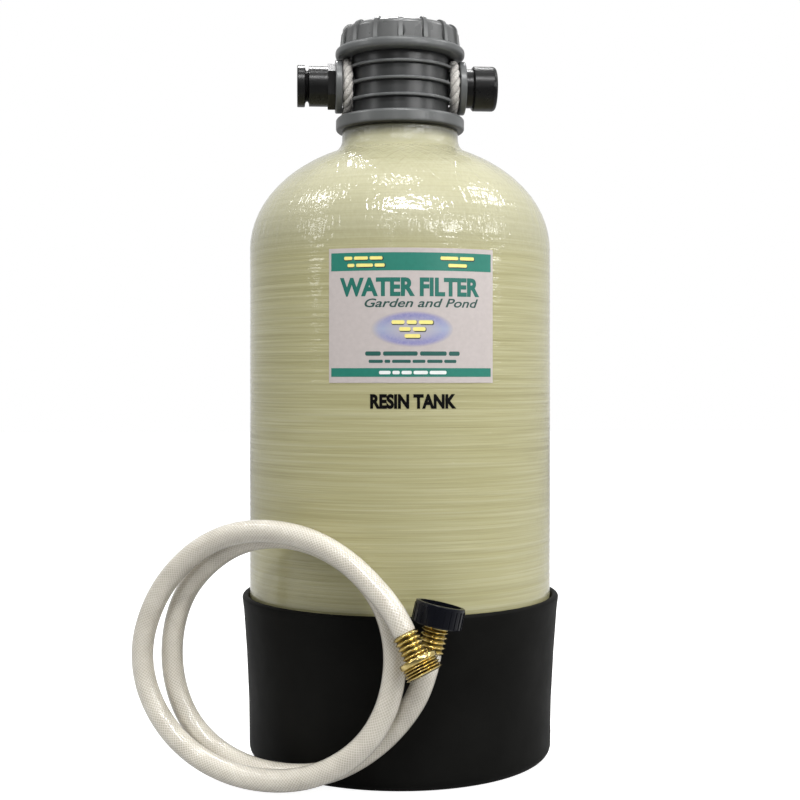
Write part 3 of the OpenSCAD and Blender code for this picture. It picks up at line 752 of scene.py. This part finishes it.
class Print:
    """Flat artwork, across the front and up, that is bent onto the tank as thin closed solids."""

    def __init__(self):
        self.mesh = bmesh.new()

    def solid(self, outline, lift, thick):
        """Adds one convex outline of (across, up) points as a slab at that height off the wall."""
        under = [self.mesh.verts.new((x, z, lift)) for x, z in outline]
        over = [self.mesh.verts.new((x, z, lift + thick)) for x, z in outline]
        self.mesh.faces.new(under[::-1])
        self.mesh.faces.new(over)
        for i in range(len(outline)):
            j = (i + 1) % len(outline)
            self.mesh.faces.new((under[i], under[j], over[j], over[i]))

    def box(self, x0, x1, z0, z1, lift, thick=INK_T):
        self.solid([(x0, z0), (x1, z0), (x1, z1), (x0, z1)], lift, thick)

    def words(self, x, z, height, widths, lift):
        """A row of word-like dashes, centred on x."""
        gap = height * 0.55
        at = x - (sum(widths) + gap * (len(widths) - 1)) / 2
        for width in widths:
            cut = height * 0.25
            self.solid([(at, z + cut), (at + cut, z), (at + width - cut, z), (at + width, z + cut),
                        (at + width, z + height - cut), (at + width - cut, z + height),
                        (at + cut, z + height), (at, z + height - cut)], lift, INK_T)
            at += width + gap

    def text(self, body, x, z, width, height, lift, weight=0.0, slant=0.0, thick=INK_T):
        """Letters fitted into a box of that width and height, centred on x, standing on z."""
        curve = bpy.data.curves.new("letters", "FONT")
        curve.body = body
        curve.offset = weight
        curve.shear = slant
        curve.extrude = 0.5
        curve.resolution_u = 4
        obj = bpy.data.objects.new("letters", curve)
        bpy.context.scene.collection.objects.link(obj)
        bpy.context.view_layer.update()
        made = bpy.data.meshes.new_from_object(
            obj.evaluated_get(bpy.context.evaluated_depsgraph_get()))
        co = np.array([v.co for v in made.vertices])
        least, most = co.min(0), co.max(0)
        for v in made.vertices:
            part = [(v.co[i] - least[i]) / (most[i] - least[i]) for i in range(3)]
            v.co = (x + (part[0] - 0.5) * width, z + part[1] * height, lift + part[2] * thick)
        self.mesh.from_mesh(made)
        bpy.data.meshes.remove(made)
        bpy.data.objects.remove(obj)
        bpy.data.curves.remove(curve)

    def piece(self, name, surface, slot):
        bmesh.ops.remove_doubles(self.mesh, verts=self.mesh.verts, dist=1e-6)
        xs = [v.co.x for v in self.mesh.verts]
        at = math.floor(min(xs) / BEND_STEP) * BEND_STEP + BEND_STEP
        while at < max(xs):
            bmesh.ops.bisect_plane(self.mesh, geom=self.mesh.verts[:] + self.mesh.edges[:]
                                   + self.mesh.faces[:], plane_co=(at, 0, 0), plane_no=(1, 0, 0))
            at += BEND_STEP
        for v in self.mesh.verts:
            angle, r = v.co.x / tank_r, tank_r + v.co.z
            v.co = (r * math.sin(angle), -r * math.cos(angle), v.co.y)
        bmesh.ops.recalc_face_normals(self.mesh, faces=self.mesh.faces)
        made = bpy.data.meshes.new(name)
        self.mesh.to_mesh(made)
        self.mesh.free()
        made.polygons.foreach_set("use_smooth", [True] * len(made.polygons))
        made.set_sharp_from_angle(angle=math.radians(40))
        made.materials.append(surface.material)
        obj = bpy.data.objects.new(name, made)
        bpy.context.scene.collection.objects.link(obj)
        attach(obj, "tank")
        return obj


PAPER_COLOUR = (0.46, 0.415, 0.40)


def ink(name, colour, coat=0.3, **values):
    """Print or paper, slightly uneven in tone, under a thin gloss."""
    s = Surface(name, Roughness=0.4, Coat_Weight=coat, Coat_Roughness=0.15, **values)
    pale = tuple(min(1.0, c * 1.08 + 0.002) for c in colour)
    s.colour(s.ramp(s.noise(300, 4), [(0.3, colour), (0.7, pale)]))
    return s


def oval_surface(centre_z, half_w, half_h):
    """A soft violet oval, deepest in a ring near its edge, where it fades into the paper."""
    s = Surface("soft_oval", Roughness=0.35, Coat_Weight=0.3, Coat_Roughness=0.15)
    x, _, z = s.axes()
    across = s.math("DIVIDE", x, half_w)
    up = s.math("DIVIDE", s.math("SUBTRACT", z, centre_z), half_h)
    reach = s.math("SQRT", s.math("ADD", s.math("MULTIPLY", across, across),
                                  s.math("MULTIPLY", up, up)))
    haze = s.ramp(reach, [(0.0, 0.3), (0.4, 0.45), (0.74, 0.95), (0.84, 0.85), (1.0, 0.0)])
    steep = s.math("MULTIPLY", s.math("ABSOLUTE", up), 1.3, clamp=True)
    tint = s.mix(steep, (0.30, 0.38, 0.50), (0.13, 0.12, 0.38))
    s.colour(s.mix(haze, PAPER_COLOUR, s.mix(s.noise(700, 2), tint, (0.34, 0.34, 0.5))))
    return s


def add_label():
    half_w = label_half_turn * tank_r
    mid = (label_low + label_high) / 2
    on_paper = PAPER_LIFT + PAPER_T
    on_ink = on_paper + INK_T
    teal = (0.010, 0.165, 0.120)

    paper = Print()
    paper.box(-half_w, half_w, label_low, label_high, PAPER_LIFT, PAPER_T)
    label = paper.piece("label_paper", ink("label_paper", PAPER_COLOUR), "label")
    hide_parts("tank_label")

    margin = 1.8 * MM
    bands = Print()
    top_band = (label_high - 15.8 * MM, label_high - 3.2 * MM)
    bottom_band = (label_low + 4.2 * MM, label_low + 10.3 * MM)
    for z0, z1 in (top_band, bottom_band):
        bands.box(-half_w + margin, half_w - margin, z0, z1, on_paper)
    bands.piece("label_bands", ink("teal_ink", teal), "label")

    title = Print()
    title.text("WATER FILTER", -1.5 * MM, mid + 13.2 * MM, 101 * MM, 13.2 * MM, on_paper, 0.045)
    title.piece("label_title", ink("title_ink", (0.006, 0.125, 0.095)), "label")

    line = Print()
    line.text("Garden and Pond", 7 * MM, mid + 5.6 * MM, 82 * MM, 6.2 * MM, on_paper, 0.016, 0.3)
    line.piece("label_subtitle", ink("subtitle_ink", (0.012, 0.06, 0.05)), "label")

    oval_z, oval_w, oval_h = mid - 9.5 * MM, 29 * MM, 12.6 * MM
    oval = Print()
    rim = [(-0.5 * MM + oval_w * math.cos(a), oval_z + oval_h * math.sin(a))
           for a in (2 * math.pi * k / 64 for k in range(64))]
    oval.solid(rim, on_paper, INK_T)
    oval.piece("label_oval", oval_surface(oval_z, oval_w, oval_h), "label")

    in_oval = [(-0.5, oval_z + up * MM, 2.7, words)
               for up, words in ((3.4, (9, 7, 10)), (-1.4, (8, 9)), (-6.2, (11,)))]
    in_band = [(x, top_band[0] + up * MM, 2.3, words) for x, up, words in (
        (-35, 7.6, (6, 10, 9)), (-33, 2.6, (5, 12, 7)), (32, 7.6, (13, 11)), (32, 2.6, (14,)))]
    for name, edge, lift, tint in (("label_word_edges", 0.35, on_ink, (0.015, 0.02, 0.03)),
                                   ("label_yellow_words", 0.0, on_ink + INK_T,
                                    (0.78, 0.70, 0.22))):
        yellow = Print()
        for x, z, height, words in in_oval + in_band:
            yellow.words((x + edge) * MM, z - 2 * edge * MM, (height + 2 * edge) * MM,
                         [w * MM for w in words], lift)
        yellow.piece(name, ink(name, tint), "label")

    white = Print()
    white.words(0, bottom_band[0] + 1.8 * MM, 2.4 * MM, [w * MM for w in (8, 5, 7, 10, 12)],
                on_ink)
    white.piece("label_white_words", ink("white_ink", (0.72, 0.74, 0.72)), "label")

    dark = Print()
    dark.words(0, bottom_band[1] + 8.6 * MM, 3.0 * MM, [w * MM for w in (11, 24, 19, 8)],
               on_paper)
    dark.words(0, bottom_band[1] + 3.6 * MM, 2.2 * MM, [w * MM for w in (10, 4, 13, 9, 11, 9)],
               on_paper)
    dark.piece("label_dark_words", ink("dark_ink", (0.010, 0.085, 0.070)), "label")

    below = Print()
    below.text("RESIN TANK", 0.5 * MM, label_low - 18.1 * MM, 61 * MM, 10.4 * MM, 0.15 * MM, 0.05)
    below.piece("tank_lettering", ink("lettering_ink", (0.003, 0.003, 0.003), 0.0, IOR=1.15),
                "label")


# --- Studio --------------------------------------------------------------------------------

STRIP_DISTANCE = 1.5
FLOOR_HALF = 6
FLOOR_GLOW = 0.3
FLOOR_WHITE = 0.93


def add_lights():
    add_light("front", (0.1, -1.05, 1.55), (0, 0, 0.33), (0.9, 0.2), 21)
    add_light("high", (-0.05, -0.25, 1.8), MIDDLE, (0.3, 0.12), 2.5)
    add_light("top", (0.0, 0.7, 1.75), MIDDLE, (0.5, 0.2), 17)
    add_light("right", (1.15, 0.0, 1.6), MIDDLE, (0.25, 0.5), 6.8)
    add_light("left", (-1.15, 0.0, 1.6), MIDDLE, (0.25, 0.5), 5.6)
    add_light("side_right", (1.5, -0.6, 0.9), (0, 0, 0.35), (0.25, 0.6), 3.2)
    add_light("side_left", (-1.5, -0.6, 0.9), (0, 0, 0.35), (0.25, 0.6), 2.8)
    add_light("low", (0.8, -1.35, 0.9), (0, 0, 0.25), (0.8, 0.3), 6)
    for turn, power in ((-97, 1.1), (-50, 1.8), (-16, 0.6)):
        a = math.radians(turn) - CAMERA_TURN
        place = (STRIP_DISTANCE * math.cos(a), STRIP_DISTANCE * math.sin(a), 0.9)
        add_light("strip", place, MIDDLE, (0.04, 0.6), power)


def add_floor():
    """A pale floor, white where the camera sees it and darker towards the front in what the
    object reflects."""
    mesh = bpy.data.meshes.new("floor")
    mesh.from_pydata([(x * FLOOR_HALF, y * FLOOR_HALF, 0)
                      for x, y in ((-1, -1), (1, -1), (1, 1), (-1, 1))], [], [(0, 1, 2, 3)])
    floor = bpy.data.objects.new("floor", mesh)
    bpy.context.scene.collection.objects.link(floor)
    s = Surface("pale_floor", Roughness=0.6, Emission_Strength=1.0)
    tone = s.ramp(s.math("ADD", s.axes()[1], 0.55), [(0.0, 0.12), (0.35, 0.4)])
    seen = s.tree.nodes.new("ShaderNodeLightPath").outputs["Is Camera Ray"]
    s.colour(tone)
    s.link(s.mix(seen, s.mix(1 - FLOOR_GLOW, tone, 0.0), FLOOR_WHITE),
           s.shader.inputs["Emission Color"])
    mesh.materials.append(s.material)


# --- Run -----------------------------------------------------------------------------------

add_camera()
add_world(front=0.2, back=0.7)
add_lights()
add_floor()

for name, surface in {
        "tank_liner": liner_plastic, "resin_bed": resin_beads,
        "head_body": head_plastic, "neck_o_ring": seal_rubber, "fill_cap": cap_plastic,
        "cap_gasket": seal_rubber, "upper_basket": white_plastic, "riser_tube": white_plastic,
        "riser_o_ring": seal_rubber, "lower_basket": white_plastic,
        "inlet_fitting": black_plastic, "inlet_swivel_nut": black_plastic,
        "inlet_washer": washer_rubber, "outlet_fitting": black_plastic,
        "port_seals": seal_rubber, "rope_sleeve": sleeve_metal, "hose_tail": brass,
        "hose_swivel_nut": nut_plastic, "hose_washer": washer_rubber}.items():
    finish_node(name, surface)

add_hose()
add_rope()
add_tank()
add_boot()
add_label()
